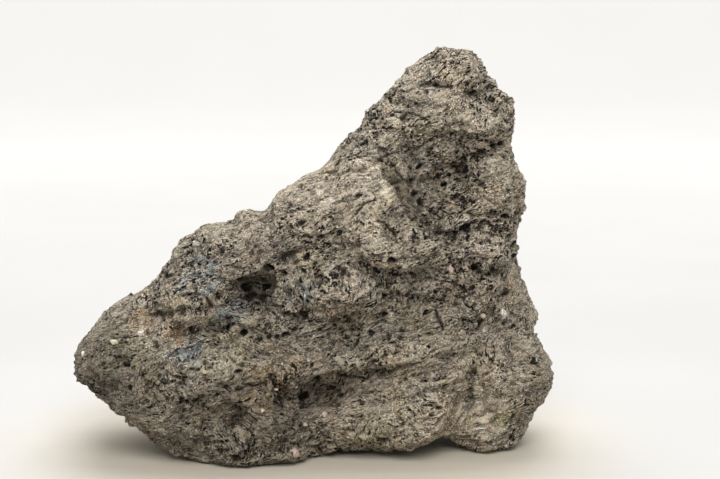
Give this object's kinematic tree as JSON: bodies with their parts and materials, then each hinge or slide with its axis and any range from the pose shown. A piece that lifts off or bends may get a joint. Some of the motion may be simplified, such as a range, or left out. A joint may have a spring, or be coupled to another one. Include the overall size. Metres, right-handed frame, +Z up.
{
  "type": "lava rock",
  "caption": "Rough dark grey lump of vesicular lava, shaped like a leaning fin with a low nose at one end, that stands on worn flats.",
  "frame": {"origin": "middle of the bounding box's base, on the surface that the stone stands on", "axes": "+X along the stone's length, from the low nose to the tall end; -Y is the front, with the ledges and knobs; +Z up"},
  "size_m": [0.3012, 0.1452, 0.2506],
  "materials": {
    "lava": "matt dark grey-brown vesicular lava, dusty on top, full of fine pores, with a few pale crumbs of mineral set in it"
  },
  "bodies": {
    "root": {"lava_rock": "lava"}
  },
  "joints": []
}
